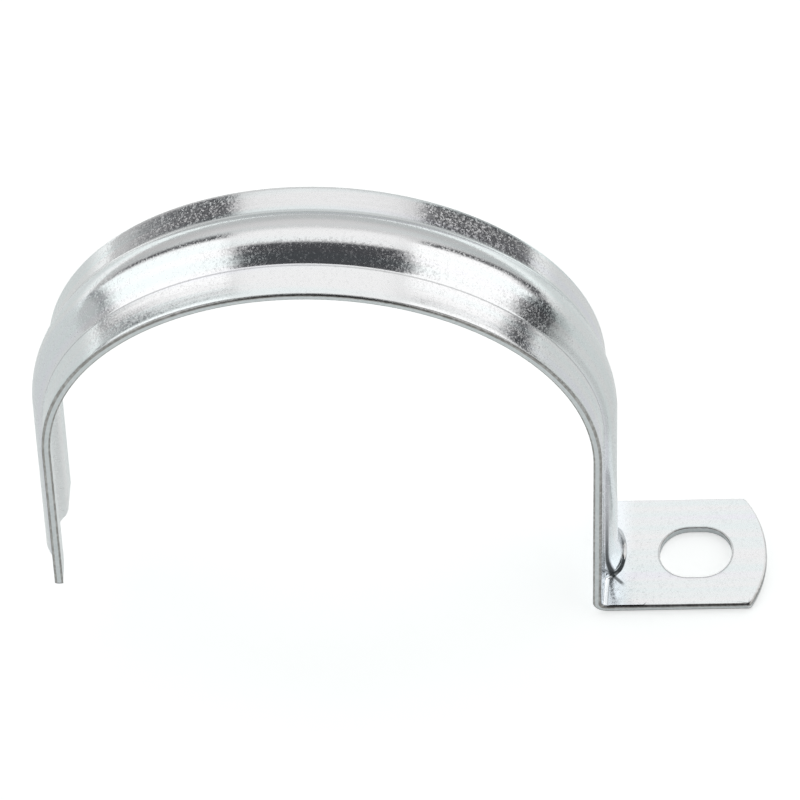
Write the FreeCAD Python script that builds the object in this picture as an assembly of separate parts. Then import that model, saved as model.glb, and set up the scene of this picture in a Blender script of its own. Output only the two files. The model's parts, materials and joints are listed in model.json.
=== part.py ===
import FreeCAD, Part
import os
from math import asin, cos, radians, sin, sqrt
from FreeCAD import Vector

# One-hole strap for 3 in. thin-wall conduit: one strip of zinc-plated steel with a rounded rib
# pressed along its middle, folded to a slotted foot at one end and a free leg at the other.
# Frame: the wall is the plane Z = 0, the conduit runs along X and the foot points along +Y.
# The origin is the centre of the fixing slot, on the wall.

# ---- Driving sizes, in millimetres and degrees ----
conduit_radius = 44.45     # outside of the conduit that the arch seats on
wall_gap = 0.9             # left under the conduit until the bolt pulls the foot down
sheet = 1.4                # thickness of the strip
strip_width = 21.6
anchor_lean = 4.2          # angle by which the leg on the foot leans over it
free_splay = 3.3           # angle by which the free leg opens outwards
free_leg = 39.7            # straight length of the free leg, at its longest
rib_width = 12.0           # across the rib, from one flat lip to the other
rib_height = 2.15          # how far the rib stands out from the lips
rib_root = 1.5             # radius in the hollow where the rib leaves a lip
bend_radius = 1.25         # radius in the hollow where the leg turns into the foot
axis_to_slot = 58.2        # from the conduit's axis to the slot's centre
slot_length = 12.1
slot_width = 9.9
slot_to_end = 11.9         # from the slot's centre to the tip of the foot
foot_end_radius = 20.0
foot_end_shift = 1.1       # the foot's end is cropped this far off the middle
free_end_radius = 30.0
free_end_shift = -1.8      # and so is the free leg's end
corner_radius = 0.7        # where a cropped end meets the strip's sides

# ---- Worked out from those ----
half_width = strip_width / 2
half_rib = rib_width / 2
rib_radii = (half_rib**2 + rib_height**2) / (2 * rib_height)
crest_radius = rib_radii - rib_root
rib_slope = asin(half_rib / rib_radii)
anchor_angle = 90 + anchor_lean
free_angle = free_splay - 90
foot_back = axis_to_slot - conduit_radius / 2    # the foot's blank starts half way in under the conduit

CONDUIT_AXIS = Vector(0, -axis_to_slot, conduit_radius + wall_gap)
TURNING = Vector(-1, 0, 0)     # turning about this way carries the crown over towards the foot
OFF_WALL = Vector(0, 0, 1)
SPARE = 5.0        # by which what cuts stands past what it cuts
HAIR = 0.001       # lengths below this count as nothing


def turned(shape, angle):
    """A copy of what was made at the crown, carried round the conduit by an angle."""
    copy = shape.copy()
    copy.rotate(CONDUIT_AXIS, TURNING, angle)
    return copy


def onward(angle, length):
    """A length of strip, in the direction in which it runs at an angle round from the crown."""
    return Vector(0, cos(radians(angle)), -sin(radians(angle))) * length


def across(x, height):
    """A point of the strip's cross-section at the crown, by its height above the conduit."""
    return CONDUIT_AXIS + Vector(x, 0, conduit_radius + height)


def root_point(side, skin, angle):
    """A point where the rib curves out of a lip, on the skin at a height above the conduit."""
    radius = rib_root + sheet - skin
    return across(side * (half_rib - radius * sin(angle)), sheet + rib_root - radius * cos(angle))


def crest_point(side, skin, angle):
    """A point on the rib's rounded back, on the skin at a height above the conduit."""
    radius = crest_radius - sheet + skin
    centre = sheet + rib_height - crest_radius
    return across(side * radius * sin(angle), centre + radius * cos(angle))


def line(start, end):
    return Part.LineSegment(start, end).toShape()


def arc(start, middle, end):
    return Part.Arc(start, middle, end).toShape()


def skin_edges(skin):
    """Lip, root, crest, root and lip, on the skin at a height above the conduit."""
    feet = [root_point(side, skin, 0) for side in (-1, 1)]
    middles = [root_point(side, skin, rib_slope / 2) for side in (-1, 1)]
    tops = [root_point(side, skin, rib_slope) for side in (-1, 1)]
    return [
        line(across(-half_width, skin), feet[0]),
        arc(feet[0], middles[0], tops[0]),
        arc(tops[0], crest_point(1, skin, 0), tops[1]),
        arc(tops[1], middles[1], feet[1]),
        line(feet[1], across(half_width, skin)),
    ]


def face(edges):
    return Part.Face(Part.Wire(Part.__sortEdges__(edges)))


def strip_section():
    """The ribbed strip's cross-section, at the crown."""
    sides = [line(across(x, 0), across(x, sheet)) for x in (-half_width, half_width)]
    return face(skin_edges(0) + sides + skin_edges(sheet))


def inner_section():
    """What lies on the conduit's side of the strip, as a cross-section at the crown."""
    depth = foot_back - axis_to_slot
    corners = [across(-half_width, 0), across(-half_width, depth), across(half_width, depth)]
    corners.append(across(half_width, 0))
    return face(skin_edges(0) + [line(a, b) for a, b in zip(corners, corners[1:])])


def tongue(length, end_radius, end_shift, thickness):
    """A flat tongue as wide as the strip, from Y = 0 to a rounded end at Y = length."""
    centre = Vector(end_shift, length - end_radius, 0)
    roots = [Vector(x, 0, 0) for x in (-half_width, half_width)]
    corners = [Vector(p.x, centre.y + sqrt(end_radius**2 - (p.x - end_shift)**2), 0) for p in roots]
    outline = face([
        line(corners[0], roots[0]),
        line(roots[0], roots[1]),
        line(roots[1], corners[1]),
        arc(corners[1], centre + Vector(0, end_radius, 0), corners[0]),
    ])
    blank = outline.extrude(OFF_WALL * thickness)
    upright = [edge for edge in blank.Edges if edge.BoundBox.ZLength > HAIR]
    return blank.makeFillet(corner_radius, [edge for edge in upright if edge.BoundBox.YMin > length / 2])


def arch():
    """The half ring round the conduit, from one leg to the other."""
    return turned(strip_section(), free_angle).revolve(CONDUIT_AXIS, TURNING, anchor_angle - free_angle)


def free_side():
    """The free leg, cropped to its rounded end."""
    leg = turned(strip_section(), free_angle).extrude(onward(free_angle, -free_leg - SPARE))
    crop = tongue(free_leg, free_end_radius, -free_end_shift, sheet + rib_height + 2 * SPARE)
    crop.rotate(Vector(0, 0, 0), OFF_WALL, 180)
    crop.translate(across(0, -SPARE))
    return leg.common(turned(crop, free_angle))


def down_to_wall(section):
    """A cross-section carried round to the anchor leg and run down it as far as the wall."""
    leg = turned(section, anchor_angle).extrude(onward(anchor_angle, CONDUIT_AXIS.z + SPARE))
    room = leg.BoundBox
    return leg.common(Part.makeBox(room.XLength, room.YLength, room.ZMax, Vector(room.XMin, room.YMin, 0)))


def slot():
    """The fixing slot, as the punch that stands through the foot."""
    half_flat = (slot_length - slot_width) / 2
    low = Vector(0, 0, -SPARE)
    height = sheet + 2 * SPARE
    punch = Part.makeBox(slot_width, 2 * half_flat, height, low - Vector(slot_width / 2, half_flat, 0))
    for y in (-half_flat, half_flat):
        punch = punch.fuse(Part.makeCylinder(slot_width / 2, height, low + Vector(0, y, 0)))
    return punch.removeSplitter()


def foot():
    """The foot, as far back as the conduit's side of the leg, with its slot."""
    plate = tongue(foot_back + slot_to_end, foot_end_radius, foot_end_shift, sheet)
    plate.translate(Vector(0, -foot_back, 0))
    return plate.cut(down_to_wall(inner_section())).cut(slot())


def bend_edges(shape, height):
    """The edges across the bend that lie flat at a height: on the foot's top, or on the wall."""
    boxes = [(edge, edge.BoundBox) for edge in shape.Edges]
    flat = [(edge, box) for edge, box in boxes if abs(box.ZMin - height) + box.ZLength < HAIR]
    return [edge for edge, box in flat if box.YMax < -slot_length / 2 and box.XLength > HAIR]


def anchor_side():
    """The anchor leg and the foot, with the bend between them rounded inside and out."""
    square = down_to_wall(strip_section()).fuse(foot()).removeSplitter()
    hollow = square.makeFillet(bend_radius, bend_edges(square, sheet))
    return hollow.makeFillet(bend_radius + sheet, bend_edges(hollow, 0))


def strap():
    """The whole folded strip, as one solid."""
    return anchor_side().fuse([arch(), free_side()]).removeSplitter().Solids[0]


os.makedirs("parts", exist_ok=True)
strap().exportStep("parts/strap.step")
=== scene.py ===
import json
from math import acos, atan2, cos, pi, radians, sin, sqrt, tan

import bmesh
import bpy
from mathutils import Matrix, Vector


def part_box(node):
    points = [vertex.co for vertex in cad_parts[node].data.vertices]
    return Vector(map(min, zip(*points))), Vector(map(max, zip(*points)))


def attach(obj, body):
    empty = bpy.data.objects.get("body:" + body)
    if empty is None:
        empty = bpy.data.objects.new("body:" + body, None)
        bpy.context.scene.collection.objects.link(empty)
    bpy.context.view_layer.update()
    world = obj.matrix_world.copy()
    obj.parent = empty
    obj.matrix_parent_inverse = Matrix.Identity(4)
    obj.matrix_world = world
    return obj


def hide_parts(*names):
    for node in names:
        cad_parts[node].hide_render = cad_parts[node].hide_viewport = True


# A zinc-plated conduit strap on a pale floor. The strap is one pressed strip, so it is one mesh:
# its two skins are laid out in rows across the strip, from the tip of the free leg, over the
# arch and round the bend to the foot, and sewn together at the sheared edges.
# Metres. The wall or floor is Z = 0, the conduit runs along X, the foot points along +Y.

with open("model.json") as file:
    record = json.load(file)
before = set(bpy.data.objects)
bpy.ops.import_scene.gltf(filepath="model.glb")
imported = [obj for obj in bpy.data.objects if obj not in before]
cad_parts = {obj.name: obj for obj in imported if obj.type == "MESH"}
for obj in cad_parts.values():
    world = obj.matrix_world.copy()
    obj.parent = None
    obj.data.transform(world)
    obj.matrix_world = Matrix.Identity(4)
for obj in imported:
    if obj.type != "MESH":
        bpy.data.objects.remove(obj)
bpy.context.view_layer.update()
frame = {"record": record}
mounts = {mount["name"]: mount for mount in frame["record"]["mounts"]}

# ---- Sizes that come from the frame ----
MM = 0.001
conduit_axis = Vector(mounts["conduit_seat"]["pos_m"])
conduit_radius = mounts["conduit_seat"]["dims"]["r_mm"] * MM
slot_radius = mounts["fixing_slot"]["dims"]["hole_r_mm"] * MM
slot_half_flat = mounts["fixing_slot"]["dims"]["slot_length_mm"] * MM / 2 - slot_radius
half_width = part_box("strap")[1].x
foot_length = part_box("strap")[1].y

# ---- The pressed sheet, in metres and radians ----
sheet = 1.4 * MM
anchor_angle = radians(94.2)    # where the arch passes into the leg on the foot, from the crown
free_angle = radians(-86.7)     # and into the free leg
free_leg = 39.7 * MM
rib_middle = -0.5 * MM          # the rib is pressed this far off the strip's middle
rib_half = 5.6 * MM
rib_height = 2.15 * MM
rib_crest = 7.7 * MM            # radius of the rib's rounded back, outside
rib_root = 1.2 * MM             # radius of the hollows along it
front_lift = 0.24 * MM          # the front lip rises by this much towards the rib
back_lift = 0.15 * MM           # and the back lip by this much, on an even slope
bend_radius = 0.85 * MM
foot_end_radius = 20.0 * MM
foot_end_shift = 1.1 * MM
free_end_radius = 30.0 * MM
free_end_shift = -1.8 * MM
front_roll = (1.0 * MM, 0.12 * MM)    # how wide and how deep the front lip rolls over at its edge
back_roll = (0.5 * MM, 0.04 * MM)
flare_height = 0.3 * MM         # the rib widens by this much down the leg on the foot
flare_length = 25.0 * MM
toe_height = 0.85 * MM          # and swells to this much where it runs into the foot
toe_length = 5.0 * MM
toe_tightness = 0.55 * MM       # the bend is this much tighter round the toe
toe_fullness = 0.5              # the toe is fuller than the rib: its shape is the rib's to this power
groove_depth = 0.06 * MM        # the die's mark in the foot's top, round the toe and along the bend
groove_reach = (0.14 * MM, 0.34 * MM)    # from the bend to where it starts to rise, and to its end
corner_cut = 0.45 * MM          # taken off the sheared corners
edge_round = 0.48 * MM          # the full rounding of an edge
slot_rounding = 0.3             # the share of it that the slot's rim gets,
back_rounding = 0.22            # that the strip's back edges get,
front_rounding = 0.53           # that its front edges get on top of that,
low_rounding = 0.15             # and those near the wall on top of both

front_root = rib_middle + rib_half
back_root = rib_middle - rib_half

# ---- How finely the skins are laid out ----
LIP_COLUMNS = (1.0, 0.96, 0.92, 0.88, 0.84, 0.8, 0.64, 0.48, 0.32, 0.16)  # shares of the lip's width
ROOT_STEPS = 6
CREST_STEPS = 20
ARCH_ROWS = 120
BEND_ROWS = 10
TIP_ROWS = (1.0, 0.97, 0.9, 0.7, 0.4)   # shares of the free leg's length
LEG_ROWS = (0.15, 0.3, 0.45, 0.6, 0.72, 0.8, 0.86, 0.9, 0.93, 0.96, 0.98, 1.0)
PATCH_START = -8.5 * MM         # where the foot's flat passes into the ring of faces round its slot
SIDE_STEPS = 8
END_STEPS = 24
RING_SHARES = (0.12, 0.5, 0.85)
CORNER_STEPS = 4
ROUNDING_STEPS = 4
GROOVE_ROWS = slice(-10, -2)    # the rows of the bend's fillet that the painted shade round the toe runs over,
FLAT_GROOVE_ROWS = slice(-4, -2)    # and those where it also runs across the lips
LIP_GROOVE = 0.45               # how strong it is there
ROUNDED, SHEARED = 1, 2         # the places of the edges' finishes on the piece, after the zinc

# ---- The zinc, and the dark lines of painted shade on it ----
crystal = 0.24 * MM             # the zinc's grain
crystal_lean = 0.012            # how far the crystals' faces lean out of the surface
streak_stretch = 0.03           # how much slower the streaks change along the strip than across it
streak_depth = 0.008 * MM
polish = 0.11                   # the smoothest zinc's roughness
cloud_haze = 0.03               # and what is added to it, in clouds,
crystal_haze = 0.2              # on single crystals
shade_line_haze = 0.4                 # and along the painted shade lines
clear_film = (0.835, 0.835, 0.84, 1)
green_film = (0.785, 0.835, 0.84, 1)
lilac_film = (0.81, 0.81, 0.86, 1)
bend_highlight_colour = (0.9, 0.94, 0.97, 1)      # painted highlight: the lower leg on the foot and its bend are paler and bluer
# painted shade: the near-black colour of the dark lines in the zinc
shade_line_colour = (0.07, 0.08, 0.085, 1)
root_line = 0.2 * MM            # half the width of the painted shade lines in the hollows along the rib's roots
front_root_dark = 0.3
back_root_dark = 0.15
hollow_line = 0.6 * MM          # and of the hollow's shade down the front of the anchor leg
hollow_inset = 0.95 * MM        # which lies this far in from the front root
hollow_dark = (0.12, 0.83)      # faint at the top, and this much more at the bottom
crease_line = 0.6 * MM          # and of the painted shade along the crease that runs out slantwise over the foot
crease_offset = 18.17 * MM      # on the line x - y = this
crease_dark = 0.7
rim_line = 0.42 * MM            # and of the painted shadow round the slot's rim
rim_dark = 0.45
toe_falloff = 1.4               # a higher power makes the painted shade round the toe narrower

# ---- The edges' bare metal, with painted light: paler at the back, darker at the front ----
# painted highlight: the edges that face the back, paler than the zinc
plated_highlight = (0.93, 0.94, 0.94, 1)
# painted dark reflection on the rounded edges that face the front
painted_dark_reflection = (0.34, 0.33, 0.315, 1)
# the torn metal of the sheared edges that face the front, darkened further by painted shade
torn_and_shaded = (0.68, 0.72, 0.73, 1)
tear_colour = (0.9, 0.9, 0.9, 1)

# ---- The stage ----
table_radius = 0.62
table_drop = 0.05 * MM          # the table lies this far under the foot
table_colour = (0.755, 0.785, 0.775, 1)
view_azimuth = radians(99.08)   # where the camera stands, seen from what it looks at
view_elevation = radians(54.11)
view_roll = radians(-8.47)
view_distance = 1.6366
lens = 450                      # in millimetres, as the sensor's width is
sensor = 36
aim = conduit_axis + Vector((0, 12.55, 1.37)) * MM


def lip_lift(side):
    """How much higher the rib's foot is than the lip's edge, on the front (1) or the back (-1)."""
    return front_lift if side > 0 else back_lift


def rib_slope(side):
    """The slope of the rib's flank: the straight that touches both its back and its hollow."""
    radii = rib_crest + rib_root
    rise = rib_height - lip_lift(side)
    centres = Vector((rib_half, radii - rise))
    return atan2(centres.x, centres.y) - acos(min(1, radii / centres.length))


def over_lip(x, height, skin):
    """How far up the rib a point of the section stands: 0 on the lips and 1 on the crest."""
    lift = lip_lift(x - rib_middle)
    return max(0, height - skin - lift) / (rib_height - lift)


def lip(side, skin):
    """A lip at the crown, from its sheared edge to the rib: (x, height over the conduit)."""
    root = rib_middle + side * rib_half
    width = half_width - side * root
    roll_width, roll_depth = front_roll if side > 0 else back_roll
    points = []
    for share in LIP_COLUMNS:
        rolled = max(0, 1 - (1 - share) * width / roll_width)
        rise = lip_lift(side) * (1 - share)**(2 if side > 0 else 1)
        points.append((root + side * width * share, skin + rise - roll_depth * rolled**2))
    return points


def half_rib(side, skin):
    """Half the rib at the crown, from the lip to beside its crest."""
    root = rib_root + sheet - skin
    crest = rib_crest - sheet + skin
    slope = rib_slope(side)
    points = []
    for step in range(ROOT_STEPS):
        angle = slope * step / ROOT_STEPS
        height = sheet + lip_lift(side) + rib_root - root * cos(angle)
        points.append((rib_middle + side * (rib_half - root * sin(angle)), height))
    for step in range(CREST_STEPS // 2):
        angle = slope * (1 - 2 * step / CREST_STEPS)
        height = sheet + rib_height - rib_crest + crest * cos(angle)
        points.append((rib_middle + side * crest * sin(angle), height))
    return points


def section(skin):
    """Across the strip at the crown: (x, height over the conduit) on the skin at that height."""
    back = lip(-1, skin) + half_rib(-1, skin)
    front = lip(1, skin) + half_rib(1, skin)
    return back + [(rib_middle, rib_height + skin)] + front[::-1]


def round_conduit(x, height, angle):
    """A point at a height over the conduit, at an angle round from the crown."""
    reach = conduit_radius + height
    return conduit_axis + Vector((x, reach * sin(angle), reach * cos(angle)))


def onward(angle):
    """The way in which the strip runs at an angle round from the crown."""
    return Vector((0, cos(angle), -sin(angle)))


def free_reach(x):
    """How far down the free leg's rounded end comes, across the strip."""
    return free_leg - free_end_radius + sqrt(free_end_radius**2 - (x - free_end_shift)**2)


def foot_reach(x):
    """And how far out the foot's rounded end comes."""
    return foot_length - foot_end_radius + sqrt(foot_end_radius**2 - (x - foot_end_shift)**2)


def column(x, height, skin):
    """One column of a skin: down the free leg's end, over the arch, down to the wall and out."""
    start = round_conduit(x, height, free_angle)
    points = [start - onward(free_angle) * free_reach(x) * share for share in TIP_ROWS]
    for row in range(ARCH_ROWS + 1):
        angle = free_angle + (anchor_angle - free_angle) * row / ARCH_ROWS
        points.append(round_conduit(x, height, angle))
    top = points[-1]
    down = onward(anchor_angle)
    raised = over_lip(x, height, skin)
    toe = (rib_height + toe_height) * raised**toe_fullness - rib_height * raised
    outwards = Vector((0, 1, 0))
    fillet = bend_radius - toe_tightness * raised + sheet - skin
    corner = top + down * (top.z - skin) / -down.z
    tangent = fillet / tan((pi - anchor_angle) / 2)
    leg = (corner - top).length - tangent
    for share in LEG_ROWS:
        left = leg * (1 - share)
        flare = flare_height * raised * max(0, 1 - left / flare_length)
        near = max(0, 1 - left / toe_length)
        points.append(top + down * leg * share + outwards * (flare + toe * near * near))
    centre = corner + outwards * (flare_height * raised + toe + tangent) + Vector((0, 0, fillet))
    for row in range(1, BEND_ROWS + 1):
        angle = anchor_angle * (1 - row / BEND_ROWS)
        points.append(centre - Vector((0, sin(angle), cos(angle))) * fillet)
    if skin:
        points[-1].z -= groove_depth
    points += [points[-1] + outwards * reach for reach in groove_reach]
    points[-1].z = skin
    points.append(Vector((x, PATCH_START, skin)))
    return points


def slot_edge(toward):
    """The slot's edge, in the direction of a point of the foot."""
    way = Vector((toward.x, toward.y))
    way.normalize()
    across = abs(way.x)
    along = abs(way.y)
    if across * slot_half_flat > along * slot_radius:
        return way * slot_radius / across
    reach = along * slot_half_flat + sqrt(slot_radius**2 - (across * slot_half_flat)**2)
    return way * reach


def foot_outline(row, skin):
    """Round the foot's flat from the ends of its first row: up a side, round the end and back."""
    left, right = row[0], row[-1]
    corners = [foot_reach(x) for x in (-half_width, half_width)]
    points = list(row)
    for step in range(1, SIDE_STEPS + 1):
        y = PATCH_START + (corners[1] - PATCH_START) * step / SIDE_STEPS
        points.append(Vector((right.x, y, skin)))
    centre = Vector((foot_end_shift, foot_length - foot_end_radius, skin))
    first = atan2(corners[1] - centre.y, half_width - centre.x)
    last = atan2(corners[0] - centre.y, -half_width - centre.x)
    for step in range(1, END_STEPS + 1):
        angle = first + (last - first) * step / END_STEPS
        points.append(centre + Vector((cos(angle), sin(angle), 0)) * foot_end_radius)
    for step in range(1, SIDE_STEPS):
        y = corners[0] + (PATCH_START - corners[0]) * step / SIDE_STEPS
        points.append(Vector((left.x, y, skin)))
    return points


def quads(mesh, lower, upper, flip, closed=False):
    """Faces between two rows of vertices."""
    count = len(lower)
    for i in range(count if closed else count - 1):
        j = (i + 1) % count
        corners = [lower[i], lower[j], upper[j], upper[i]]
        mesh.faces.new(corners[::-1] if flip else corners)


def set_groove_shade(mesh, rows, skin):
    """Says on each vertex how much painted shade it gets: round the rib's toe, and along the bend."""
    groove_shade = mesh.verts.layers.float["groove_shade"]
    for row in rows[GROOVE_ROWS]:
        for vertex, (x, height) in zip(row, section(skin)):
            on_rib = min(1, 10 * over_lip(x, height, skin))
            off_back = min(1, max(0, 1.5 + x / (3 * MM)))
            vertex[groove_shade] = on_rib * off_back
    for row in rows[FLAT_GROOVE_ROWS]:
        for vertex in row:
            vertex[groove_shade] = max(vertex[groove_shade], LIP_GROOVE)


def skin_rows(mesh, skin, flip):
    """Lays out one skin and returns the loops of vertices round its outline and its slot."""
    columns = [column(x, height, skin) for x, height in section(skin)]
    rows = [[mesh.verts.new(point) for point in row] for row in zip(*columns)]
    set_groove_shade(mesh, rows, skin)
    for lower, upper in zip(rows, rows[1:]):
        quads(mesh, lower, upper, flip)
    outline = foot_outline([vertex.co for vertex in rows[-1]], skin)
    outer = rows[-1] + [mesh.verts.new(point) for point in outline[len(rows[-1]):]]
    ring = outer
    for share in RING_SHARES + (1,):
        inner = []
        for vertex in outer:
            edge = slot_edge(vertex.co).to_3d()
            edge.z = skin
            inner.append(mesh.verts.new(vertex.co.lerp(edge, share)))
        quads(mesh, ring, inner, flip, closed=True)
        ring = inner
    sides = [row[-1] for row in rows[1:-1]]
    other = [row[0] for row in rows[1:-1]]
    border = rows[0] + sides + outer[len(rows[-1]) - 1:] + [outer[0]] + other[::-1]
    return border, ring


def strap_mesh():
    """Both skins, sewn together round the strip's outline and round the slot."""
    mesh = bmesh.new()
    mesh.verts.layers.float.new("groove_shade")
    inner_border, inner_slot = skin_rows(mesh, 0, flip=True)
    outer_border, outer_slot = skin_rows(mesh, sheet, flip=False)
    skins = len(mesh.faces)
    quads(mesh, outer_border, inner_border, flip=True, closed=True)
    quads(mesh, outer_slot, inner_slot, flip=False, closed=True)
    mesh.faces.ensure_lookup_table()
    for face in mesh.faces[skins:]:
        face.material_index = SHEARED
    bmesh.ops.recalc_face_normals(mesh, faces=mesh.faces)
    return mesh


def cut_corners(mesh):
    """Takes the points off the sheared corners."""
    mesh.edges.ensure_lookup_table()
    upright = []
    for edge in mesh.edges:
        a, b = (vertex.co for vertex in edge.verts)
        at_side = all(abs(abs(end.x) - half_width) < MM / 100 for end in (a, b))
        through = abs((a - b).length - sheet) < MM / 10
        if at_side and through and edge.calc_face_angle(0) > radians(40):
            upright.append(edge)
    bmesh.ops.bevel(
        mesh, geom=upright, offset=corner_cut, segments=CORNER_STEPS, profile=0.5, affect="EDGES",
    )


def weigh_edges(mesh):
    """Gives each sharp edge the share of the rounding that it gets."""
    rounded = mesh.edges.layers.float.new("bevel_weight_edge")
    for edge in mesh.edges:
        if edge.calc_face_angle(0) > radians(50):
            middle = (edge.verts[0].co + edge.verts[1].co) / 2
            front = min(1, max(0, (middle.x + 9 * MM) / (6 * MM)))
            low = min(1, max(0, (6 * MM - middle.z) / (4 * MM)))
            in_slot = middle.to_2d().length < 1.5 * slot_radius and middle.z < 2 * MM
            along = back_rounding + front * (front_rounding + low_rounding * low)
            edge[rounded] = slot_rounding if in_slot else along


def strap():
    """The strap's one piece, with its edges rounded."""
    mesh = strap_mesh()
    cut_corners(mesh)
    weigh_edges(mesh)
    for face in mesh.faces:
        face.smooth = True
    data = bpy.data.meshes.new("strap_sheet")
    mesh.to_mesh(data)
    mesh.free()
    piece = bpy.data.objects.new("strap_sheet", data)
    bpy.context.scene.collection.objects.link(piece)
    rounding = piece.modifiers.new("sheared edges", "BEVEL")
    rounding.width = edge_round
    rounding.segments = ROUNDING_STEPS
    rounding.limit_method = "WEIGHT"
    rounding.use_clamp_overlap = False
    rounding.material = ROUNDED
    shading = piece.modifiers.new("flat skins", "WEIGHTED_NORMAL")
    shading.keep_sharp = False
    return piece


# ---- Shader expressions ----

class Value:
    """A shader socket in an expression: arithmetic on it adds the nodes."""

    def __init__(self, shader, socket):
        self.shader = shader
        self.socket = socket

    def maths(self, operation, *others):
        return self.shader.maths(operation, self, *others)

    def __add__(self, other):
        return self.maths("ADD", other)

    def __radd__(self, other):
        return self.maths("ADD", other)

    def __sub__(self, other):
        return self.maths("SUBTRACT", other)

    def __rsub__(self, other):
        return self.shader.maths("SUBTRACT", other, self)

    def __mul__(self, other):
        return self.maths("MULTIPLY", other)

    def __rmul__(self, other):
        return self.maths("MULTIPLY", other)

    def __truediv__(self, other):
        return self.maths("DIVIDE", other)

    def rises(self, start, end):
        """0 below start and 1 above end, with a smooth step between; start may be the higher."""
        settings = {"interpolation_type": "SMOOTHSTEP"}
        sockets = {"Value": self, "From Min": start, "From Max": end}
        return self.shader.add("ShaderNodeMapRange", settings, sockets)


class Shader:
    """The nodes of one material or of the world."""

    def __init__(self, owner):
        owner.use_nodes = True
        self.tree = owner.node_tree
        self.tree.nodes.clear()

    def add(self, kind, settings, sockets, output=0):
        """A node: its settings first, then its sockets' values or links. Gives one output."""
        node = self.tree.nodes.new(kind)
        for name, setting in settings.items():
            setattr(node, name, setting)
        for name, value in sockets.items():
            if isinstance(value, Value):
                self.tree.links.new(value.socket, node.inputs[name])
            else:
                node.inputs[name].default_value = value
        return Value(self, node.outputs[output])

    def finish(self, kind, value):
        end = self.tree.nodes.new(kind)
        self.tree.links.new(value.socket, end.inputs["Surface"])

    def maths(self, operation, *values):
        sockets = {place: value for place, value in enumerate(values)}
        return self.add("ShaderNodeMath", {"operation": operation}, sockets)

    def mixed(self, share, first, second):
        """A colour between two colours."""
        settings = {"data_type": "RGBA"}
        return self.add("ShaderNodeMix", settings, {0: share, 6: first, 7: second}, output=2)

    def vector(self, operation, *values):
        """Vector maths."""
        sockets = {place: value for place, value in enumerate(values)}
        return self.add("ShaderNodeVectorMath", {"operation": operation}, sockets)

    def parts(self, vector):
        """The three numbers of a vector."""
        split = self.add("ShaderNodeSeparateXYZ", {}, {0: vector})
        return [Value(self, socket) for socket in split.socket.node.outputs]


def along_strip(shader):
    """A place on the strip that changes slowly along it, so that noise on it makes streaks."""
    place = shader.add("ShaderNodeTexCoord", {}, {}, "Object")
    squeeze = {"Vector": place, "Scale": (1.0, streak_stretch, streak_stretch)}
    return place, shader.add("ShaderNodeMapping", {}, squeeze)


def noise(shader, place, size, detail):
    """Noise from 0 to 1, with grains of a size in metres."""
    return shader.add("ShaderNodeTexNoise", {}, {"Vector": place, "Scale": 1 / size, "Detail": detail})


def leaning(shader, ways, lean):
    """The surface's normal, leant by up to an amount in the random ways of its crystals."""
    ways = shader.vector("MULTIPLY_ADD", ways, (2 * lean,) * 3, (-lean,) * 3)
    straight = shader.add("ShaderNodeNewGeometry", {}, {}, "Normal")
    return shader.vector("NORMALIZE", shader.vector("ADD", ways, straight))


def near_line(distance, half):
    """1 on a line and 0 from half its width away."""
    return distance.maths("ABSOLUTE").rises(half, half * 0.3)


def painted_shade_lines(shader, place):
    """Painted shade, in dark lines: down the rib's roots, round its toe, over the foot and round the
    slot.
    """
    x, y, z = shader.parts(place)
    off_foot = z.rises(1.6 * MM, 2.6 * MM)
    # painted shade in the hollows along the rib's roots, off the foot
    front = near_line(x - front_root, root_line) * off_foot * front_root_dark
    back = near_line(x - back_root, root_line) * off_foot * back_root_dark

    on_leg = y.rises(-30 * MM, -20 * MM) * z.rises(1.45 * MM, 1.6 * MM)
    faint, more = hollow_dark
    hollow = near_line(x - front_root + hollow_inset, hollow_line) * on_leg
    hollow = hollow * (faint + more * z.rises(28 * MM, 3 * MM))

    # painted shade in the hollow of the fillet round the rib's toe, and along the bend
    toe = shader.add("ShaderNodeAttribute", {"attribute_name": "groove_shade"}, {}, "Fac")
    toe = toe.maths("POWER", toe_falloff)

    along = x + y
    length = along.rises(-9.6 * MM, -9 * MM) * along.rises(-5.0 * MM, -6.6 * MM)
    # painted shade along the crease that runs out over the foot
    crease = near_line(x - y - crease_offset, crease_line) * length
    crease = crease * z.rises(2.4 * MM, 1.9 * MM) * crease_dark

    # painted shadow round the slot's rim
    past_middle = (y.maths("ABSOLUTE") - slot_half_flat).maths("MAXIMUM", 0.0)
    off_rim = (x * x + past_middle * past_middle).maths("SQRT") - slot_radius
    rim = near_line(off_rim, rim_line) * rim_dark
    return (front + back + hollow + toe + crease + rim).maths("MINIMUM", 1.0)


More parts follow.
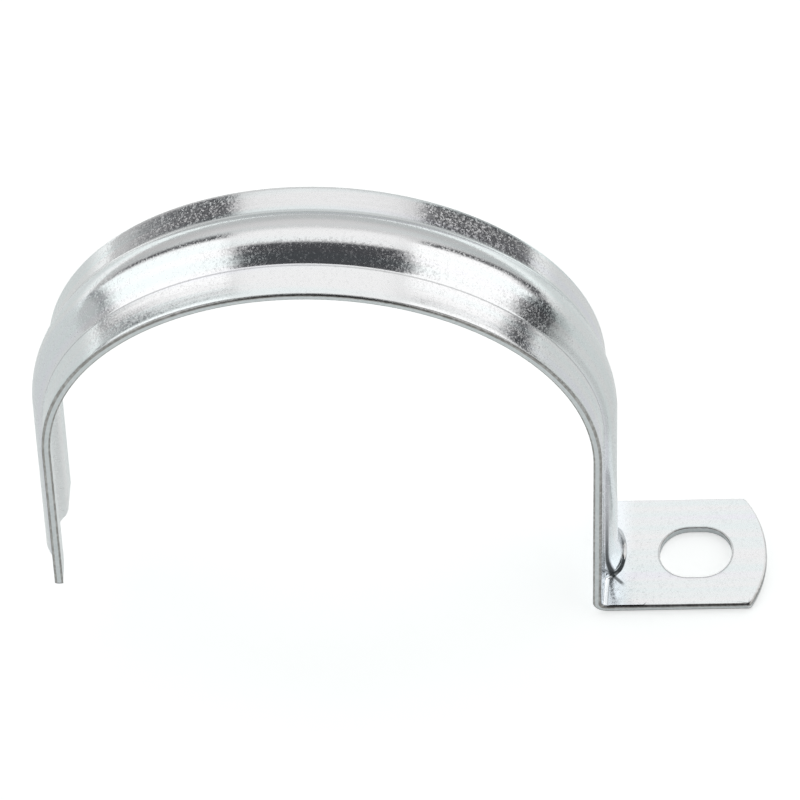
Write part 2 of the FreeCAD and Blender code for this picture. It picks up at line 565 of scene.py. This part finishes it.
def zinc_plate():
    """Bright zinc over rolled sheet: crystal grain, streaks along the strip, a thin film of colour."""
    material = bpy.data.materials.new("zinc_plate")
    shader = Shader(material)
    place, drawn = along_strip(shader)
    streaks = noise(shader, drawn, 0.8 * MM, 2.0)
    green = noise(shader, drawn, 2.1 * MM, 1.0)
    lilac = noise(shader, drawn, 2.9 * MM, 1.0)
    clouds = noise(shader, place, 9 * MM, 2.0)
    colour = shader.mixed(green.rises(0.35, 0.65), clear_film, green_film)
    colour = shader.mixed(lilac.rises(0.55, 0.75), colour, lilac_film)
    x, y, z = shader.parts(place)
    # painted highlight, paler and bluer on the lower part of the leg on the foot and round its bend
    bend_highlight = y.rises(-20 * MM, -17 * MM) * y.rises(-10 * MM, -13 * MM) * z.rises(12 * MM, 6 * MM)
    colour = shader.mixed(bend_highlight, colour, bend_highlight_colour)
    # painted shade: the dark lines are mixed into the zinc's colour
    shade_lines = painted_shade_lines(shader, place)
    colour = shader.mixed(shade_lines, colour, shade_line_colour)
    crystals = shader.add("ShaderNodeTexVoronoi", {}, {"Vector": place, "Scale": 1 / crystal}, "Color")
    haze = shader.parts(crystals)[0].maths("POWER", 3.0)
    facing = leaning(shader, crystals, crystal_lean)
    bump = shader.add("ShaderNodeBump", {}, {
        "Strength": 1.0,
        "Distance": streak_depth,
        "Height": streaks,
        "Normal": facing,
    })
    surface = shader.add("ShaderNodeBsdfPrincipled", {}, {
        "Base Color": colour,
        "Metallic": 1.0,
        "Roughness": polish + cloud_haze * clouds + crystal_haze * haze + shade_line_haze * shade_lines,
        "Normal": bump,
    })
    shader.finish("ShaderNodeOutputMaterial", surface)
    return material


def edge_metal(name, back, front, grain):
    """Dull, mottled metal along the edges, with painted light: paler on those that face the strip's back
    and darker on those that face its front.
    """
    material = bpy.data.materials.new(name)
    shader = Shader(material)
    place = shader.add("ShaderNodeTexCoord", {}, {}, "Object")
    facing = shader.parts(shader.add("ShaderNodeNewGeometry", {}, {}, "Normal"))[0]
    tear = noise(shader, place, grain, 3.0)
    # painted light: one colour on the edges that face the back, another on those that face the front
    colour = shader.mixed(facing.rises(-0.1, 0.3), back, front)
    colour = shader.mixed(tear.rises(0.35, 0.7) * 0.35, colour, tear_colour)
    bump = shader.add("ShaderNodeBump", {}, {"Strength": 1.0, "Distance": 0.04 * MM, "Height": tear})
    surface = shader.add("ShaderNodeBsdfPrincipled", {}, {
        "Base Color": colour,
        "Metallic": 1.0,
        "Roughness": 0.28,
        "Normal": bump,
    })
    shader.finish("ShaderNodeOutputMaterial", surface)
    return material


# ---- The studio ----

def studio():
    """Pale panels overhead and at each side, with the room's dark between them.

    Each panel is placed by two angles from straight up, in degrees: to the right, and to the back.
    """
    world = bpy.data.worlds.new("studio")
    bpy.context.scene.world = world
    shader = Shader(world)
    way = shader.add("ShaderNodeTexCoord", {}, {}, "Generated")
    front, right, up = shader.parts(way)
    tilt = up.maths("ARCCOSINE") * (180 / pi)
    flat = (front * front + right * right + 1e-6).maths("SQRT")    # never 0, as it divides
    side = right * tilt / flat
    back = 0 - front * tilt / flat

    def between(angle, low, high, soft):
        """1 between two angles and 0 outside them, with soft borders."""
        return angle.rises(low - soft, low + soft) * angle.rises(high + soft, high - soft)

    overhead = between(side, -30, 32, 6) * between(back, -15, 43, 4)
    left_screen = between(side, -85.5, -30, 2.5) * between(back, -70, 50, 4)
    left_dark = between(side, -68.5, -30, 4) * between(back + 0.2 * side, -60, 39.8, 3)
    right_dark = between(side, 36.5, 80, 3) * between(back - 0.4 * side, -60, 32.5, 3)
    right_screen = between(side, 72, 102, 2.5) * between(back, -70, 45, 4)
    front_dark = between(side, -31, 36, 4) * between(back, -100, 6.6, 3.5)
    left_box = between(side, -80.5, -29, 3) * between(back + 0.185 * side, -70, 30.6, 4)
    left_box = left_box * back.rises(-51, -45)
    right_box = (side + 0.05 * back).rises(32.5, 37.5) * (side - 0.1 * back).rises(82.5, 77.5)
    right_box = right_box * between(back - 0.39 * side, -90, 22.6, 4) * back.rises(-50, -44)
    right_box = right_box * (side + 0.9 * back).rises(118, 105)

    light = 0.57 + 0.16 * tilt.rises(84, 64)
    for mask, strength in (
        (overhead, 1.03),
        (left_screen, 0.22),
        (left_dark, 0.06),
        (right_dark, 0.04),
        (right_screen, 0.05),
        (front_dark, 0.07),
        (left_box, 1.22),
        (right_box, 1.22),
    ):
        light = light + mask * (strength - light)
    light = light * (1 - 0.8 * back.rises(-60, -90) * tilt.rises(105, 90))
    seen = shader.add("ShaderNodeLightPath", {}, {}, "Is Camera Ray")
    shown = light + seen * (1 - light)
    colour = shader.mixed(shown.rises(0.02, 0.5), (0.95, 0.97, 1.06, 1), (1, 1, 1, 1))
    glow = shader.add("ShaderNodeBackground", {}, {"Color": colour, "Strength": shown})
    shader.finish("ShaderNodeOutputWorld", glow)


def floor():
    """A pale table that keeps the strap's soft shadow. Mirrored in the zinc it is paler far off."""
    mesh = bmesh.new()
    bmesh.ops.create_circle(mesh, cap_ends=True, segments=96, radius=table_radius)
    data = bpy.data.meshes.new("table")
    mesh.to_mesh(data)
    mesh.free()
    table = bpy.data.objects.new("table", data)
    table.location = (conduit_axis.x, conduit_axis.y, -table_drop)
    bpy.context.scene.collection.objects.link(table)
    material = bpy.data.materials.new("pale_table")
    shader = Shader(material)
    seen = shader.add("ShaderNodeLightPath", {}, {}, "Is Camera Ray")
    mirrored = shader.add("ShaderNodeLightPath", {}, {}, "Is Glossy Ray")
    paper = shader.add("ShaderNodeBsdfDiffuse", {}, {"Color": table_colour})
    front, right, _ = shader.parts(shader.add("ShaderNodeTexCoord", {}, {}, "Object"))
    far = front.rises(-0.12, -0.24)
    far_right = right.rises(0.25, 0.35)
    glow = mirrored * (0.2 + 0.35 * far - 0.2 * far_right) + seen * 0.55
    lift = shader.add("ShaderNodeEmission", {}, {"Color": (1, 1, 1, 1), "Strength": glow})
    shader.finish("ShaderNodeOutputMaterial", shader.add("ShaderNodeAddShader", {}, {0: paper, 1: lift}))
    data.materials.append(material)


def camera():
    """Far off, and turned a little about its own line of sight."""
    data = bpy.data.cameras.new("camera")
    data.sensor_width = sensor
    data.lens = lens
    data.clip_end = 10
    eye = bpy.data.objects.new("camera", data)
    back = Vector((
        sin(view_azimuth) * cos(view_elevation),
        -cos(view_azimuth) * cos(view_elevation),
        sin(view_elevation),
    ))
    level = Vector((cos(view_azimuth), sin(view_azimuth), 0))
    upright = back.cross(level)
    right = level * cos(view_roll) + upright * sin(view_roll)
    axes = Matrix((right, back.cross(right), back)).transposed()
    eye.matrix_world = Matrix.Translation(aim + back * view_distance) @ axes.to_4x4()
    bpy.context.scene.collection.objects.link(eye)
    bpy.context.scene.camera = eye


# ---- Put together ----

piece = strap()
piece.data.materials.append(zinc_plate())
piece.data.materials.append(edge_metal("rounded_edge", plated_highlight, painted_dark_reflection, 0.7 * MM))
piece.data.materials.append(edge_metal("sheared_edge", plated_highlight, torn_and_shaded, 0.5 * MM))
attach(piece, "root")
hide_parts("strap")
studio()
floor()
camera()
bpy.context.scene.view_settings.view_transform = "Standard"
